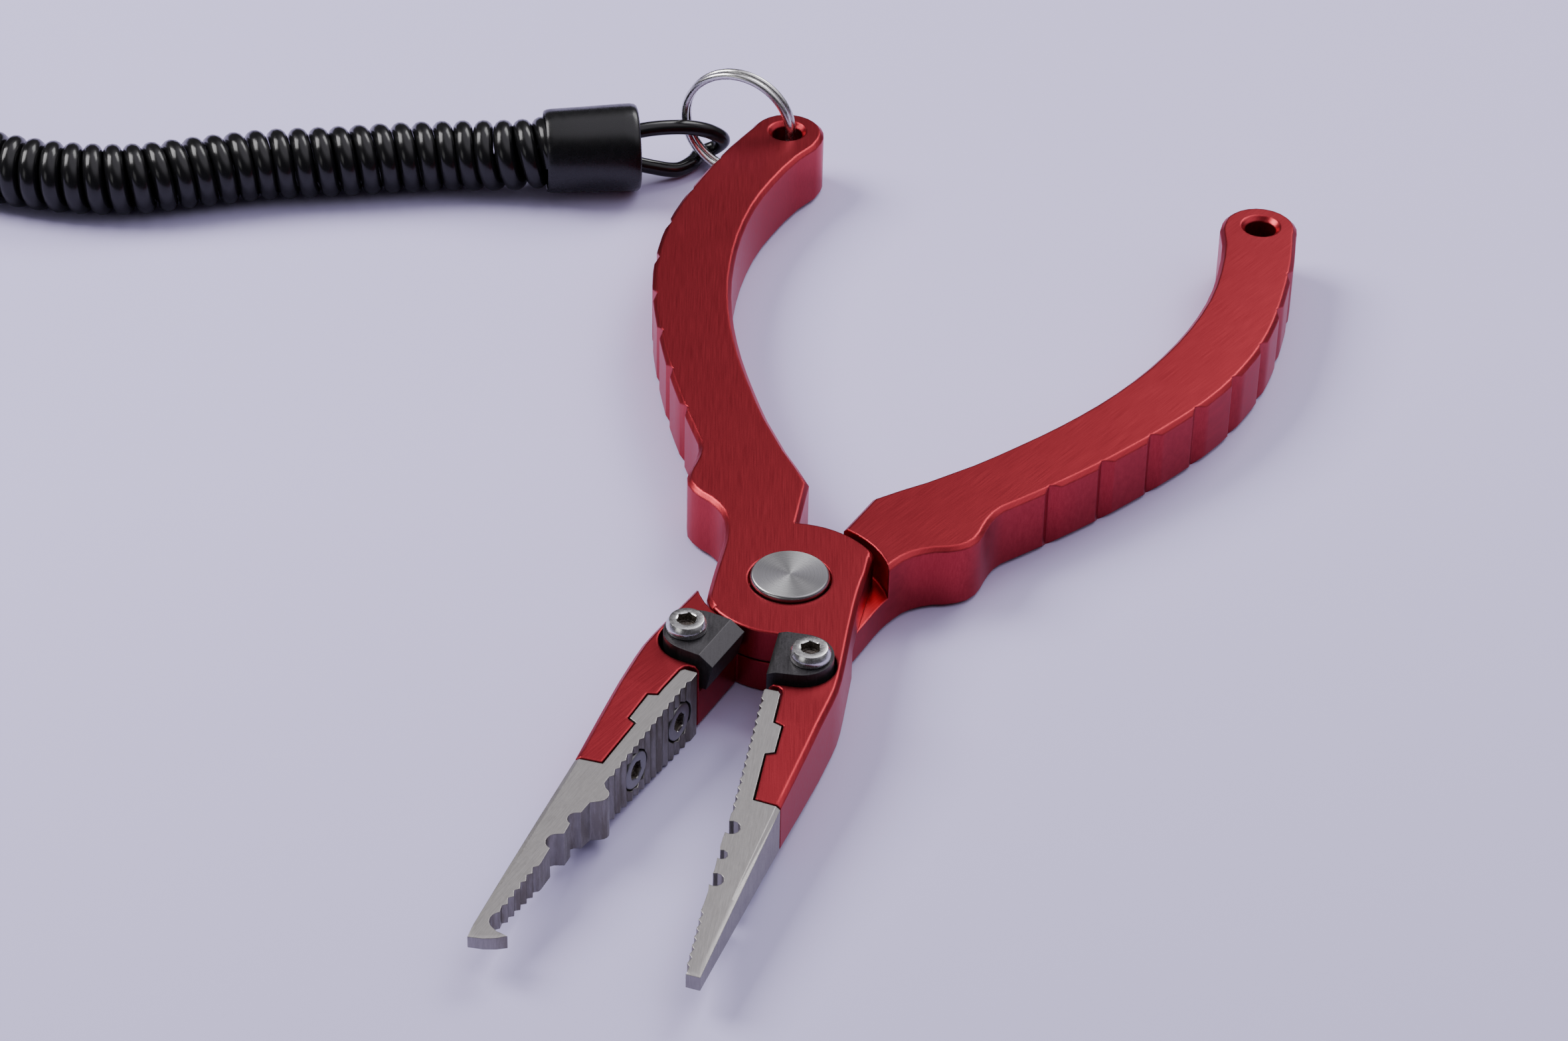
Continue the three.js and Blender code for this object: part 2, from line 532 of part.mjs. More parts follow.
add('clip_gate', clipGate(), polishedSteel);
add('clip_gate_pin', clipGatePin(), polishedSteel);

export default group;
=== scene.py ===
# Fishing pliers with a coil lanyard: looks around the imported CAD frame. Metres, +Z up.
import math

import bmesh
import bpy
from mathutils import Matrix, Vector


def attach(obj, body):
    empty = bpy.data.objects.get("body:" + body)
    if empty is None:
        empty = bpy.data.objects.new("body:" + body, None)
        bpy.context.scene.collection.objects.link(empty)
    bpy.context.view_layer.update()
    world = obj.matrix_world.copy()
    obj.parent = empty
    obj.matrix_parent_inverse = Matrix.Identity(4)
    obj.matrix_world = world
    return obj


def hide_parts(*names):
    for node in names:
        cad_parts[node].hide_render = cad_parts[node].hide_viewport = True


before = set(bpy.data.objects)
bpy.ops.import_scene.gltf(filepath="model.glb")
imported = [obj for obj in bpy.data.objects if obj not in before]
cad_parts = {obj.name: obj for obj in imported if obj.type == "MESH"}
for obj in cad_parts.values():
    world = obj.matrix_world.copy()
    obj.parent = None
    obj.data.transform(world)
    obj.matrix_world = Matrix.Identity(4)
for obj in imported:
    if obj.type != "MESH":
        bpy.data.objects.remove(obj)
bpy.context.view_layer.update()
MM = 0.001
scene = bpy.context.scene


# ---------- node helpers ----------
class Nodes:
    """A material's node tree, with short calls to add and link nodes."""

    def __init__(self, name):
        self.material = bpy.data.materials.new(name)
        self.material.use_nodes = True
        self.tree = self.material.node_tree
        self.tree.nodes.clear()
        output = self.tree.nodes.new("ShaderNodeOutputMaterial")
        self.shader = self.tree.nodes.new("ShaderNodeBsdfPrincipled")
        self.link(self.shader.outputs[0], output.inputs[0])

    def link(self, source, target):
        self.tree.links.new(source, target)

    def feed(self, value, socket):
        """Links an output to the socket, or gives the socket a plain value. A colour gets its alpha."""
        if hasattr(value, "is_output"):
            self.link(value, socket)
        elif isinstance(value, tuple):
            socket.default_value = (*value, 1)
        else:
            socket.default_value = value

    def add(self, kind, **settings):
        node = self.tree.nodes.new(kind)
        for key, value in settings.items():
            setattr(node, key, value)
        return node

    def set(self, **values):
        for key, value in values.items():
            self.feed(value, self.shader.inputs[key.replace("_", " ")])

    def position(self):
        return self.add("ShaderNodeTexCoord").outputs["Object"]

    def mapped(self, scale, turn=0.0):
        """The position turned about Z and then scaled, so that a noise on it is drawn out into lines."""
        turned = self.add("ShaderNodeMapping")
        turned.inputs["Rotation"].default_value = (0, 0, turn)
        self.link(self.position(), turned.inputs["Vector"])
        scaled = self.add("ShaderNodeMapping")
        scaled.inputs["Scale"].default_value = scale
        self.link(turned.outputs[0], scaled.inputs["Vector"])
        return scaled.outputs[0]

    def noise(self, vector, scale=1.0, detail=3.0, roughness=0.5):
        node = self.add("ShaderNodeTexNoise")
        node.inputs["Scale"].default_value = scale
        node.inputs["Detail"].default_value = detail
        node.inputs["Roughness"].default_value = roughness
        self.link(vector, node.inputs["Vector"])
        return node.outputs["Fac"]

    def remap(self, value, from_low, from_high, to_low, to_high):
        node = self.add("ShaderNodeMapRange")
        self.link(value, node.inputs["Value"])
        node.inputs["From Min"].default_value = from_low
        node.inputs["From Max"].default_value = from_high
        node.inputs["To Min"].default_value = to_low
        node.inputs["To Max"].default_value = to_high
        return node.outputs[0]

    def math(self, operation, a, b=0.0):
        node = self.add("ShaderNodeMath", operation=operation)
        self.feed(a, node.inputs[0])
        self.feed(b, node.inputs[1])
        return node.outputs[0]

    def mix(self, factor, a, b):
        """The colour a at factor 0, b at factor 1."""
        node = self.add("ShaderNodeMix", data_type="RGBA")
        self.feed(factor, node.inputs[0])
        self.feed(a, node.inputs[6])
        self.feed(b, node.inputs[7])
        return node.outputs[2]

    def bump(self, height, strength, distance, rounding=0.0):
        """A bumped normal; rounding is the radius in metres of the softening that edges get."""
        node = self.add("ShaderNodeBump")
        node.inputs["Strength"].default_value = strength
        node.inputs["Distance"].default_value = distance
        self.link(height, node.inputs["Height"])
        if rounding:
            edge = self.add("ShaderNodeBevel", samples=6)
            edge.inputs["Radius"].default_value = rounding
            self.link(edge.outputs[0], node.inputs["Normal"])
        return node.outputs[0]

    def normal_along(self, direction):
        """1 where the surface faces the direction, 0 where it's square to it or faces away."""
        geometry = self.add("ShaderNodeNewGeometry")
        dot = self.add("ShaderNodeVectorMath", operation="DOT_PRODUCT")
        self.link(geometry.outputs["Normal"], dot.inputs[0])
        dot.inputs[1].default_value = direction
        clamp = self.add("ShaderNodeClamp")
        self.link(dot.outputs["Value"], clamp.inputs[0])
        return clamp.outputs[0]


# ---------- materials ----------
def red_anodised(name, turn):
    """Satin anodised aluminium with fine brushing; turn is the angle from the brushing back to the Y axis."""
    n = Nodes(name)
    lines = n.noise(n.mapped((7500, 160, 900), turn), 1.0, 3.0, 0.6)
    grain = n.noise(n.position(), 5200.0, 3.0, 0.6)
    cloud = n.noise(n.position(), 70.0, 3.0)
    brushed = n.math("ADD", n.math("MULTIPLY", lines, 0.65), n.math("MULTIPLY", grain, 0.35))
    colour = n.mix(n.remap(brushed, 0.35, 0.65, 0, 1), (0.29, 0.022, 0.031), (0.385, 0.034, 0.045))
    colour = n.mix(n.remap(cloud, 0.35, 0.65, 0, 0.25), colour, (0.30, 0.022, 0.030))
    n.set(Base_Color=colour, Metallic=0.96, Roughness=n.remap(brushed, 0.35, 0.65, 0.29, 0.35),
          Specular_Tint=(1.0, 0.7, 0.76), Coat_Weight=0.06, Coat_Roughness=0.25,
          Normal=n.bump(brushed, 0.14, 0.00002, 0.0004))
    return n.material


def jaw_steel(name, inward):
    """Satin steel; the toothed face, which looks along inward, is darker, in streaky patches."""
    n = Nodes(name)
    grain = n.noise(n.mapped((7000, 420, 500), 0.2 * inward[0]), 1.0, 3.0, 0.6)
    fine = n.noise(n.position(), 4200.0, 3.0, 0.6)
    streaks = n.noise(n.mapped((900, 900, 160)), 1.0, 5.0, 0.7)
    facing = n.remap(n.normal_along(inward), 0.35, 0.75, 0, 1)
    dark = n.math("MULTIPLY", facing, n.remap(streaks, 0.4, 0.58, 0.25, 1.0))
    bright = n.mix(n.remap(grain, 0.3, 0.7, 0, 1), (0.25, 0.238, 0.232), (0.32, 0.306, 0.297))
    colour = n.mix(dark, bright, (0.17, 0.153, 0.132))
    n.set(Base_Color=colour, Metallic=0.95, Roughness=n.remap(fine, 0.3, 0.7, 0.36, 0.46),
          Normal=n.bump(n.math("ADD", grain, fine), 0.12, 0.00002, 0.00018))
    return n.material


def carbide(name):
    """Ground carbide; the bevel that leans to -X is painted darker, as painted shade."""
    n = Nodes(name)
    grain = n.noise(n.position(), 4200.0, 4.0, 0.65)
    scratch = n.noise(n.mapped((5600, 500, 600), -0.3), 1.0, 3.0, 0.7)
    tone = n.math("ADD", n.math("MULTIPLY", grain, 0.5), n.math("MULTIPLY", scratch, 0.5))
    body = n.mix(n.remap(tone, 0.35, 0.65, 0, 1), (0.034, 0.032, 0.034), (0.062, 0.059, 0.064))
    # painted shade: the bevel that faces -X gets a darker colour
    painted_shade_facet = n.remap(n.normal_along((-1, 0, 0)), 0.18, 0.28, 0, 1)
    n.set(Base_Color=n.mix(painted_shade_facet, body, (0.018, 0.017, 0.018)),
          Metallic=0.75, Roughness=n.remap(tone, 0.35, 0.65, 0.36, 0.55),
          Normal=n.bump(tone, 0.3, 0.00003, 0.0001))
    return n.material


def polished_steel(name, roughness, tone=1.0):
    """Polished steel; the attribute "socket" marks the inside of a hexagonal socket, which is rougher and
    painted dark brown in patches as painted shade.
    """
    n = Nodes(name)
    fine = n.noise(n.position(), 2600.0, 3.0, 0.6)
    socket_shade_noise = n.noise(n.position(), 3500.0, 4.0, 0.7)
    inside = n.add("ShaderNodeAttribute", attribute_name="socket").outputs["Fac"]
    low = (0.50 * tone, 0.495 * tone, 0.49 * tone)
    high = (0.64 * tone, 0.635 * tone, 0.63 * tone)
    clean = n.mix(n.remap(fine, 0.3, 0.7, 0, 1), low, high)
    # painted shade inside the socket: a patchy dark brown colour
    painted_socket_shade = n.mix(n.remap(socket_shade_noise, 0.4, 0.6, 0, 1), (0.07, 0.055, 0.045), (0.22, 0.195, 0.175))
    rough = n.remap(fine, 0.3, 0.7, roughness, roughness + 0.1)
    n.set(Base_Color=n.mix(inside, clean, painted_socket_shade), Metallic=1.0,
          Roughness=n.math("ADD", rough, n.math("MULTIPLY", inside, 0.3)), Normal=n.bump(fine, 0.08, 0.00002))
    return n.material


def turned_steel(name):
    """The pivot's head: rings left by the lathe, so that it reflects in a fan."""
    n = Nodes(name)
    split = n.add("ShaderNodeSeparateXYZ")
    n.link(n.position(), split.inputs[0])
    x, y = split.outputs[0], split.outputs[1]
    radius = n.math("SQRT", n.math("ADD", n.math("MULTIPLY", x, x), n.math("MULTIPLY", y, y)))
    combine = n.add("ShaderNodeCombineXYZ")
    n.link(n.math("MULTIPLY", radius, 9000.0), combine.inputs[0])
    rings = n.noise(combine.outputs[0], 1.0, 3.0, 0.7)
    tangent = n.add("ShaderNodeTangent", direction_type="RADIAL", axis="Z")
    n.set(Base_Color=n.mix(rings, (0.34, 0.338, 0.34), (0.49, 0.487, 0.493)), Metallic=1.0,
          Roughness=n.remap(rings, 0.3, 0.7, 0.24, 0.34), Anisotropic=0.75, Tangent=tangent.outputs[0],
          Normal=n.bump(rings, 0.25, 0.00001))
    return n.material


def black_coating(name, roughness):
    """Smooth black plastic with a little dust."""
    n = Nodes(name)
    skin = n.noise(n.position(), 900.0, 4.0, 0.55)
    dust = n.noise(n.position(), 5200.0, 2.0, 0.5)
    n.set(Base_Color=n.mix(n.remap(dust, 0.62, 0.78, 0, 1), (0.0055, 0.0055, 0.006), (0.011, 0.011, 0.012)),
          Roughness=n.remap(skin, 0.3, 0.7, roughness, roughness + 0.1), Specular_IOR_Level=0.34,
          Normal=n.bump(skin, 0.05, 0.00004))
    return n.material


def bronze(name):
    n = Nodes(name)
    fine = n.noise(n.position(), 3000.0, 3.0, 0.6)
    n.set(Base_Color=n.mix(fine, (0.32, 0.17, 0.06), (0.48, 0.28, 0.12)), Metallic=1.0,
          Roughness=n.remap(fine, 0.3, 0.7, 0.3, 0.45), Normal=n.bump(fine, 0.1, 0.00002))
    return n.material


# ---------- mesh helpers ----------
def keep(obj, body, material, node):
    """Finishes a piece made here: gives it its material and its CAD body, and hides the CAD node that it
    stands for.
    """
    obj.data.materials.clear()
    obj.data.materials.append(material)
    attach(obj, body)
    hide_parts(node)
    return obj


def object_from(name, bm, smooth_angle=35):
    bmesh.ops.recalc_face_normals(bm, faces=bm.faces)
    mesh = bpy.data.meshes.new(name)
    bm.to_mesh(mesh)
    bm.free()
    obj = bpy.data.objects.new(name, mesh)
    scene.collection.objects.link(obj)
    mesh.shade_smooth()
    mesh.set_sharp_from_angle(angle=math.radians(smooth_angle))
    return obj


def centripetal(points, count):
    """count + 1 evenly spaced points on a centripetal Catmull-Rom curve through the points."""
    steps = 40
    ends = [2 * points[0] - points[1], *points, 2 * points[-1] - points[-2]]
    dense = []
    for i in range(len(points) - 1):
        p0, p1, p2, p3 = ends[i:i + 4]
        t0 = 0.0
        t1 = t0 + math.sqrt((p1 - p0).length)
        t2 = t1 + math.sqrt((p2 - p1).length)
        t3 = t2 + math.sqrt((p3 - p2).length)
        for k in range(steps):
            t = t1 + (t2 - t1) * k / steps
            a1 = p0.lerp(p1, (t - t0) / (t1 - t0))
            a2 = p1.lerp(p2, (t - t1) / (t2 - t1))
            a3 = p2.lerp(p3, (t - t2) / (t3 - t2))
            b1 = a1.lerp(a2, (t - t0) / (t2 - t0))
            b2 = a2.lerp(a3, (t - t1) / (t3 - t1))
            dense.append(b1.lerp(b2, (t - t1) / (t2 - t1)))
    dense.append(points[-1].copy())
    lengths = [0.0]
    for a, b in zip(dense, dense[1:]):
        lengths.append(lengths[-1] + (b - a).length)
    result = []
    k = 0
    for i in range(count + 1):
        target = lengths[-1] * i / count
        while k < len(dense) - 2 and lengths[k + 1] < target:
            k += 1
        span = lengths[k + 1] - lengths[k]
        result.append(dense[k].lerp(dense[k + 1], min(1.0, (target - lengths[k]) / span)))
    return result


def stitch(bm, rings):
    """Faces between neighbouring rings of vertices. A ring of one vertex is a pole."""
    sides = max(len(ring) for ring in rings)
    for a, b in zip(rings, rings[1:]):
        for k in range(sides):
            corners = [a[k % len(a)], a[(k + 1) % len(a)], b[(k + 1) % len(b)], b[k % len(b)]]
            unique = list(dict.fromkeys(corners))
            if len(unique) > 2:
                bm.faces.new(unique)


def tube(name, path, sides, radius):
    """A closed round bar along a dense path."""
    bm = bmesh.new()
    last = len(path) - 1
    tangents = [(path[min(i + 1, last)] - path[max(i - 1, 0)]).normalized() for i in range(len(path))]
    side = tangents[0].orthogonal().normalized()
    rings = []
    for point, tangent in zip(path, tangents):
        side = (side - tangent * side.dot(tangent)).normalized()
        up = tangent.cross(side)
        ring = []
        for k in range(sides):
            angle = 2 * math.pi * k / sides
            ring.append(bm.verts.new(point + (side * math.cos(angle) + up * math.sin(angle)) * radius))
        rings.append(ring)
    stitch(bm, rings)
    bm.faces.new(rings[0])
    bm.faces.new(rings[-1])
    return object_from(name, bm, 50)


def revolve(bm, profile, segments, reach=lambda radius, angle: radius):
    """A skin round Z through (radius, height) points in mm; reach may change the radius with the angle."""
    rings = []
    for radius, height in profile:
        if radius == 0:
            rings.append([bm.verts.new((0, 0, height * MM))])
            continue
        ring = []
        for k in range(segments):
            angle = 2 * math.pi * k / segments
            out = reach(radius, angle) * MM
            ring.append(bm.verts.new((out * math.cos(angle), out * math.sin(angle), height * MM)))
        rings.append(ring)
    stitch(bm, rings)


def socket_screw(name, outer, key, depth, matrix):
    """A screw about Z: outer is its (radius, height) profile in mm from the top flat's rim down. The
    hexagonal socket has a bevelled mouth, flat walls and a drilled floor."""
    bm = bmesh.new()
    sides = 72
    apothem = key / 2
    levels_in_socket = 6

    def hexagon(angle):
        local = (angle + math.pi / 6) % (math.pi / 3) - math.pi / 6
        return apothem / math.cos(local)

    def ring(radius_at, height):
        return [bm.verts.new((radius_at(a) * math.cos(a) * MM, radius_at(a) * math.sin(a) * MM, height * MM))
                for a in (2 * math.pi * k / sides for k in range(sides))]

    levels = [(lambda a: 0.05, -depth - 0.45),
              (lambda a: apothem * 0.8, -depth - 0.1),
              (lambda a: apothem * 0.84, -depth),
              (lambda a: hexagon(a) * 0.97, -depth),
              (hexagon, -depth + 0.04),
              (hexagon, -0.16),
              (lambda a: hexagon(a) * 1.01, -0.1),
              (lambda a: max(hexagon(a) * 1.02, apothem * 1.17), -0.005),
              (lambda a: max(hexagon(a) * 1.04, apothem * 1.2), 0.0)]
    levels += [(lambda a, r=radius: r, height) for radius, height in outer]
    layer = bm.verts.layers.float.new("socket")
    rings = [ring(radius_at, height) for radius_at, height in levels]
    for index, row in enumerate(rings):
        for vertex in row:
            vertex[layer] = 1.0 if index < levels_in_socket else 0.0
    stitch(bm, rings)
    bm.faces.new(rings[0])
    bm.faces.new(rings[-1])
    bm.transform(matrix)
    return object_from(name, bm, 28)


def finish_cad(node, material, bevel, segments=2, angle=25):
    """A CAD node shown as it is, with its sharp edges broken by a small rounded bevel. bevel is in mm."""
    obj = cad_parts[node]
    obj.data.materials.clear()
    obj.data.materials.append(material)
    for polygon in obj.data.polygons:
        polygon.use_smooth = True
        polygon.material_index = 0
    weld = obj.modifiers.new("weld", "WELD")
    weld.merge_threshold = 2e-6
    flatten = obj.modifiers.new("flatten", "DECIMATE")
    flatten.decimate_type = "DISSOLVE"
    flatten.angle_limit = math.radians(0.4)
    edge = obj.modifiers.new("bevel", "BEVEL")
    edge.width = bevel * MM
    edge.segments = segments
    edge.limit_method = "ANGLE"
    edge.angle_limit = math.radians(angle)
    edge.use_clamp_overlap = True
    edge.harden_normals = True
    weighted = obj.modifiers.new("weighted", "WEIGHTED_NORMAL")
    weighted.keep_sharp = True
    weighted.weight = 80


# ---------- CAD pieces that are shown ----------
BRUSHING_TURN = 0.335
RED_UPPER = red_anodised("red_anodised_upper", -BRUSHING_TURN)
RED_LOWER = red_anodised("red_anodised_lower", BRUSHING_TURN)
STEEL_STRAIGHT = jaw_steel("jaw_steel_straight", (-1, -0.16, 0))
STEEL_HOOKED = jaw_steel("jaw_steel_hooked", (1, -0.16, 0))
CARBIDE = carbide("ground_carbide")
POLISHED = polished_steel("polished_steel", 0.21)
SATIN = polished_steel("satin_steel", 0.24)
DARK_STEEL = polished_steel("dark_steel", 0.28, 0.42)
TURNED = turned_steel("turned_steel")
BLACK = black_coating("black_coating", 0.22)
CORD = black_coating("black_cord", 0.16)
BRONZE = bronze("bearing_bronze")

finish_cad("handle_half_upper", RED_UPPER, 0.14, 2, 28)
finish_cad("handle_half_lower", RED_LOWER, 0.14, 2, 28)
finish_cad("jaw_insert_straight", STEEL_STRAIGHT, 0.1, 2, 28)
finish_cad("jaw_insert_hooked", STEEL_HOOKED, 0.1, 2, 28)
finish_cad("cutter_anvil", CARBIDE, 0.08, 2, 28)
finish_cad("cutter_blade", CARBIDE, 0.06, 2, 28)
finish_cad("pivot_nut", SATIN, 0.1)
finish_cad("thrust_washer", BRONZE, 0.04, 1)
finish_cad("clip_hook", SATIN, 0.3, 3)
finish_cad("clip_gate", SATIN, 0.3, 3)
finish_cad("clip_gate_pin", POLISHED, 0.1)
finish_cad("clip_swivel", POLISHED, 0.1)


# ---------- screws and pivot ----------
TOOTH_SLOPE = 0.162
TOOTH_START = (4.5, -23.1)
INSERT_SCREW_PLACES = ((-27.6, "back"), (-38.6, "front"))
INSERT_SCREW_SINK = 0.15
CUTTER_SCREW_TOP = (8.5, -16.6, 13.06)
SCREW_KEY = 2.4
INSERT_SCREW = [(2.4, 0), (2.53, -0.03), (2.63, -0.12), (2.67, -0.25), (2.67, -1.4), (2.57, -1.5),
                (1.2, -1.5), (1.2, -5.2), (0.9, -5.5)]
CUTTER_SCREW = [(2.2, 0), (2.27, -0.02), (2.32, -0.07), (2.62, -0.66), (2.68, -0.8), (2.7, -0.95),
                (2.7, -1.3), (2.66, -1.5), (2.56, -1.65), (1.5, -1.65), (1.5, -9.2), (1.2, -9.5)]
PIVOT_SCREW = [(0, 1.05), (2.3, 1.05), (2.3, 7.95), (5.2, 7.95), (5.3, 8.05), (5.3, 10.35),
               (5.27, 10.5), (5.12, 10.72), (5.0, 10.8), (4.9, 10.8), (0, 10.8)]


def tooth_frame(y, side):
    """The frame of a screw in a toothed face: +Z points out of the face of the jaw on that side."""
    x = TOOTH_START[0] + TOOTH_SLOPE * (TOOTH_START[1] - y)
    out = Vector((-side, -TOOTH_SLOPE, 0)).normalized()
    up = Vector((0, 0, 1))
    across = up.cross(out)
    matrix = Matrix((across, up, out)).transposed().to_4x4()
    matrix.translation = Vector((side * x, y, 5)) * MM
    return matrix


def insert_screws(side, jaw, body):
    """The two screws of one jaw insert, with their sockets turned differently."""
    for y, place in INSERT_SCREW_PLACES:
        sunk = Matrix.Translation((0, 0, -INSERT_SCREW_SINK * MM))
        matrix = tooth_frame(y, side) @ sunk @ Matrix.Rotation(y, 4, "Z")
        node = f"insert_screw_{jaw}_{place}"
        screw = socket_screw(node + "_fine", INSERT_SCREW, SCREW_KEY, 0.9, matrix)
        keep(screw, body, DARK_STEEL, node)


def cutter_screw(side, block, body, turn):
    x, y, z = CUTTER_SCREW_TOP
    matrix = Matrix.Translation((side * x * MM, y * MM, z * MM)) @ Matrix.Rotation(turn, 4, "Z")
    node = f"cutter_screw_{block}"
    screw = socket_screw(node + "_fine", CUTTER_SCREW, SCREW_KEY, 1.2, matrix)
    keep(screw, body, POLISHED, node)


def pivot_screw():
    bm = bmesh.new()
    revolve(bm, PIVOT_SCREW, 128)
    keep(object_from("pivot_screw_fine", bm, 32), "upper_half", TURNED, "pivot_screw")


insert_screws(1, "straight", "upper_half")
insert_screws(-1, "hooked", "lower_half")
cutter_screw(1, "anvil", "upper_half", 0.35)
cutter_screw(-1, "blade", "lower_half", 0.1)
pivot_screw()


# ---------- spring, ring and lanyard ----------
SPRING = {"radius": 7.4, "low": 3.8, "rise": 2.4, "turns": 2.4, "wire": 0.45}
RING = {"centre": (-45.34, 106.2, 9.25), "heading": -2, "radius": 8.5, "rise": 2.364, "turns": 1.97,
        "wire": 0.58}
LOOP_WIRE = 1.16
COIL = {"radius": 3.9, "wire": 1.52, "pitch": 3.1, "steps": 26}
NEAR_LOOP = [(-61.0, 96.2, 9.4), (-58.0, 99.2, 9.4), (-55.0, 102.0, 8.9), (-52.1, 104.7, 7.9),
             (-49.8, 107.1, 6.2), (-48.6, 108.7, 4.2), (-49.9, 109.1, 2.4), (-51.9, 107.8, 1.5),
             (-52.3, 105.0, 1.4), (-53.7, 102.1, 1.5), (-57.0, 99.7, 2.7), (-61.0, 97.6, 4.3)]
FAR_LOOP = [(-179.5, 63.2, 6.6), (-183.5, 63.7, 6.1), (-188.5, 64.2, 5.2), (-193.5, 63.3, 4.6),
            (-196.4, 61.7, 4.4), (-196.9, 60, 4.4), (-196.4, 58.3, 4.4), (-193.5, 56.7, 4.6),
            (-188.5, 55.8, 5.2), (-183.5, 56.3, 6.1), (-179.5, 56.8, 6.6)]
COIL_PATH = [(-70.5, 92.43, 6.75), (-74.6, 90.6, 6.3), (-83.4, 88.2, 5.5), (-92.4, 84.3, 5.4),
             (-101.4, 79.6, 5.4), (-110.5, 75.2, 5.4), (-119, 69.8, 5.4), (-127.4, 64.4, 5.4),
             (-137, 61.2, 5.4), (-147.5, 60, 5.4), (-158, 60, 5.9), (-169.5, 60, 6.75)]


def helix_path(radius, low, rise, turns, steps):
    return [Vector((radius * math.cos(2 * math.pi * turns * i / steps),
                    radius * math.sin(2 * math.pi * turns * i / steps), low + rise * i / steps)) * MM
            for i in range(steps + 1)]


def smooth_path(points, count):
    return centripetal([Vector(point) * MM for point in points], count)


def return_spring():
    path = helix_path(SPRING["radius"], SPRING["low"], SPRING["rise"], SPRING["turns"], 160)
    spring = tube("return_spring_fine", path, 10, SPRING["wire"] * MM)
    keep(spring, "upper_half", SATIN, "return_spring")


def split_ring():
    """Nearly two turns of wire about a level axis."""
    place = (Matrix.Translation(Vector(RING["centre"]) * MM)
             @ Matrix.Rotation(math.radians(RING["heading"]), 4, "Z") @ Matrix.Rotation(math.pi / 2, 4, "X"))
    flat = helix_path(RING["radius"], -RING["rise"] / 2, RING["rise"], RING["turns"], 320)
    ring = tube("split_ring_fine", [place @ point for point in flat], 16, RING["wire"] * MM)
    keep(ring, "ring", POLISHED, "split_ring")


def cable_loop(node, points, body):
    loop = tube(node + "_fine", smooth_path(points, 120), 20, LOOP_WIRE * MM)
    keep(loop, body, CORD, node)


def coil_cord():
    """The cord, wound round its path."""
    pieces = 600
    path = smooth_path(COIL_PATH, pieces)
    length = sum((b - a).length for a, b in zip(path, path[1:]))
    turns = math.floor(length / (COIL["pitch"] * MM))
    steps = turns * COIL["steps"]
    points = []
    for i in range(steps + 1):
        place = pieces * i / steps
        k = min(int(place), pieces - 1)
        centre = path[k].lerp(path[k + 1], place - k)
        along = (path[k + 1] - path[k]).normalized()
        side = Vector((-along.y, along.x, 0)).normalized()
        up = along.cross(side)
        angle = 2 * math.pi * turns * i / steps
        points.append(centre + (side * math.cos(angle) + up * math.sin(angle)) * COIL["radius"] * MM)
    keep(tube("coil_cord_fine", points, 14, COIL["wire"] * MM), "cord", CORD, "coil_cord")


def crimp_sleeve(node, mouth, back, body):
    """A moulded crimp sleeve with soft flats round it. The mouth takes the loop, the back the coil."""
    mouth = Vector(mouth)
    back = Vector(back)
    length = (back - mouth).length
    recess = 3.8
    flats_beyond = 5.9
    profile = [(0, 1.6), (4.6, 1.6), (4.9, 0.6), (5.3, 0.08), (5.9, 0), (6.35, 0.12), (6.62, 0.45),
               (6.75, 1.1), (6.74, 2.5), (6.65, 5.5), (6.52, 9.0), (6.42, length - 1.1),
               (6.33, length - 0.5), (6.2, length - 0.12), (6.05, length), (5.88, length - 0.1),
               (5.85, length - recess), (0, length - recess)]

    def with_flats(radius, angle):
        if radius <= flats_beyond:
            return radius
        return radius * (1 - abs(math.cos(4 * angle)) ** 3 * 0.014)

    bm = bmesh.new()
    revolve(bm, profile, 96, with_flats)
    turn = Vector((0, 0, 1)).rotation_difference(back - mouth).to_matrix().to_4x4()
    bm.transform(Matrix.Translation(mouth * MM) @ turn)
    keep(object_from(node + "_fine", bm, 40), body, BLACK, node)


return_spring()
split_ring()
cable_loop("cable_loop_near", NEAR_LOOP, "near_end")
cable_loop("cable_loop_far", FAR_LOOP, "far_end")
coil_cord()
crimp_sleeve("crimp_sleeve_near", (-58.5, 98.2, 6.8), (-71.4, 92.0, 6.8), "near_end")
crimp_sleeve("crimp_sleeve_far", (-181.5, 60, 6.8), (-168.4, 60, 6.8), "far_end")


# ---------- floor, light, camera ----------
def floor():
    """A pale sheet with a painted fall-off of light: a little darker towards the camera and the right."""
    bm = bmesh.new()
    bmesh.ops.create_grid(bm, x_segments=1, y_segments=1, size=3)
    obj = object_from("floor", bm)
    n = Nodes("pale_floor")
    split = n.add("ShaderNodeSeparateXYZ")
    n.link(n.position(), split.inputs[0])
    # painted shade: the floor colour darkens along this axis, towards the camera and the right
    away = n.math("ADD", split.outputs[1], n.math("MULTIPLY", split.outputs[0], -0.6))
    colour = n.mix(n.remap(away, -0.24, 0.06, 0, 1), (0.425, 0.397, 0.60), (0.59, 0.545, 0.84))
    n.set(Base_Color=colour, Roughness=0.55, Specular_IOR_Level=0.35)
    obj.data.materials.append(n.material)


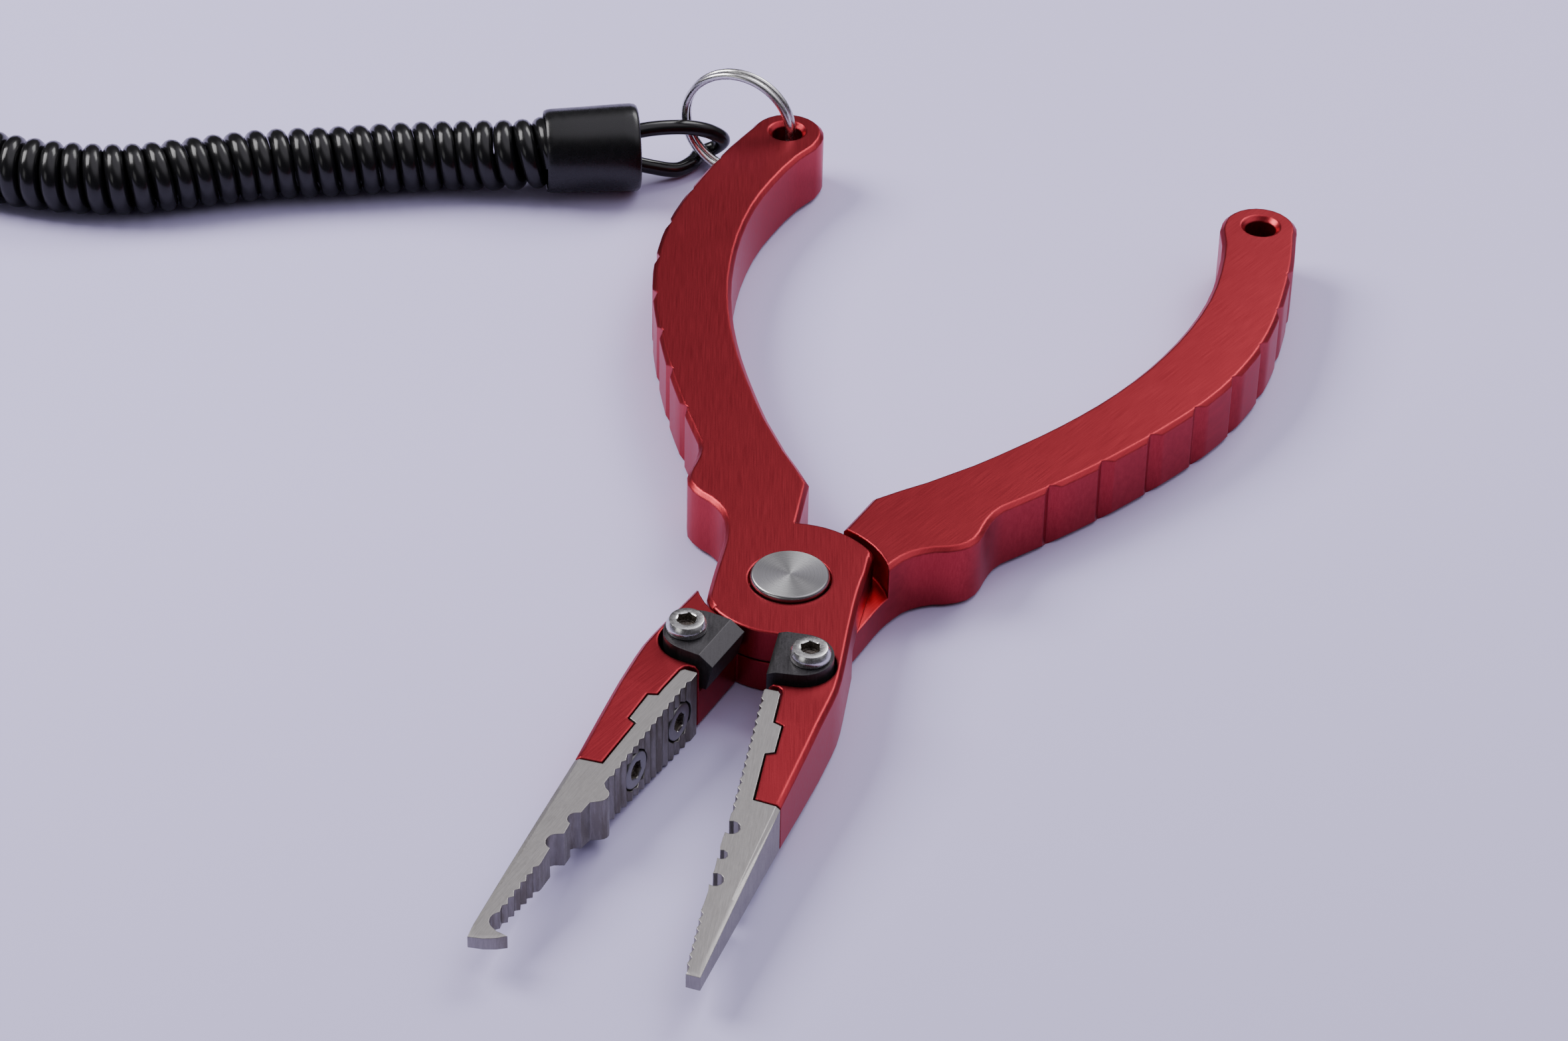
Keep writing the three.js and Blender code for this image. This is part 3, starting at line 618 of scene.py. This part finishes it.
def area_light(name, place, target, size, size_y, power, colour=(1, 1, 1)):
    light = bpy.data.lights.new(name, "AREA")
    light.shape = "RECTANGLE"
    light.size = size
    light.size_y = size_y
    light.energy = power
    light.color = colour
    obj = bpy.data.objects.new(name, light)
    obj.location = place
    obj.rotation_euler = (Vector(target) - Vector(place)).to_track_quat("-Z", "Y").to_euler()
    scene.collection.objects.link(obj)


def studio_world():
    """A dark room that brightens towards the ceiling, a little more at the back and on the right."""
    world = bpy.data.worlds.new("studio")
    world.use_nodes = True
    tree = world.node_tree
    coordinate = tree.nodes.new("ShaderNodeTexCoord")
    toward = tree.nodes.new("ShaderNodeVectorMath")
    toward.operation = "DOT_PRODUCT"
    tree.links.new(coordinate.outputs["Generated"], toward.inputs[0])
    toward.inputs[1].default_value = (0.42, 0.325, 1.0)
    ramp = tree.nodes.new("ShaderNodeValToRGB")
    tree.links.new(toward.outputs["Value"], ramp.inputs[0])
    elements = ramp.color_ramp.elements
    elements[0].position = 0.0
    elements[0].color = (0.07, 0.068, 0.074, 1)
    elements[1].position = 1.0
    elements[1].color = (1.5, 1.45, 1.62, 1)
    for place, level in ((0.50, 0.07), (0.64, 0.12), (0.76, 0.26), (0.86, 0.75)):
        element = elements.new(place)
        element.color = (level, level * 0.97, level * 1.06, 1)
    tree.links.new(ramp.outputs[0], tree.nodes["Background"].inputs[0])
    tree.nodes["Background"].inputs[1].default_value = 1.0
    scene.world = world


def view_camera():
    data = bpy.data.cameras.new("camera")
    data.sensor_width = 36
    data.lens = 103.56
    data.clip_start = 0.01
    camera = bpy.data.objects.new("camera", data)
    right = Vector((0.94415, 0.32892, 0.01970))
    down = Vector((0.21175, -0.55986, -0.80107))
    ahead = Vector((-0.25246, 0.76051, -0.59824))
    turn = Matrix((right, -down, -ahead)).transposed().to_4x4()
    camera.matrix_world = Matrix.Translation((0.14865, -0.45091, 0.37402)) @ turn
    scene.collection.objects.link(camera)
    scene.camera = camera


floor()
area_light("key", (-0.95, 0.05, 0.9), (0, 0, 0), 0.7, 0.7, 20, (1.0, 0.98, 1.0))
area_light("back", (0.28, 1.1, 1.0), (0.03, 0.03, 0), 0.7, 0.55, 9)
area_light("front", (-0.5, -0.9, 0.5), (0, 0, 0), 0.5, 0.4, 1.0)
studio_world()
view_camera()
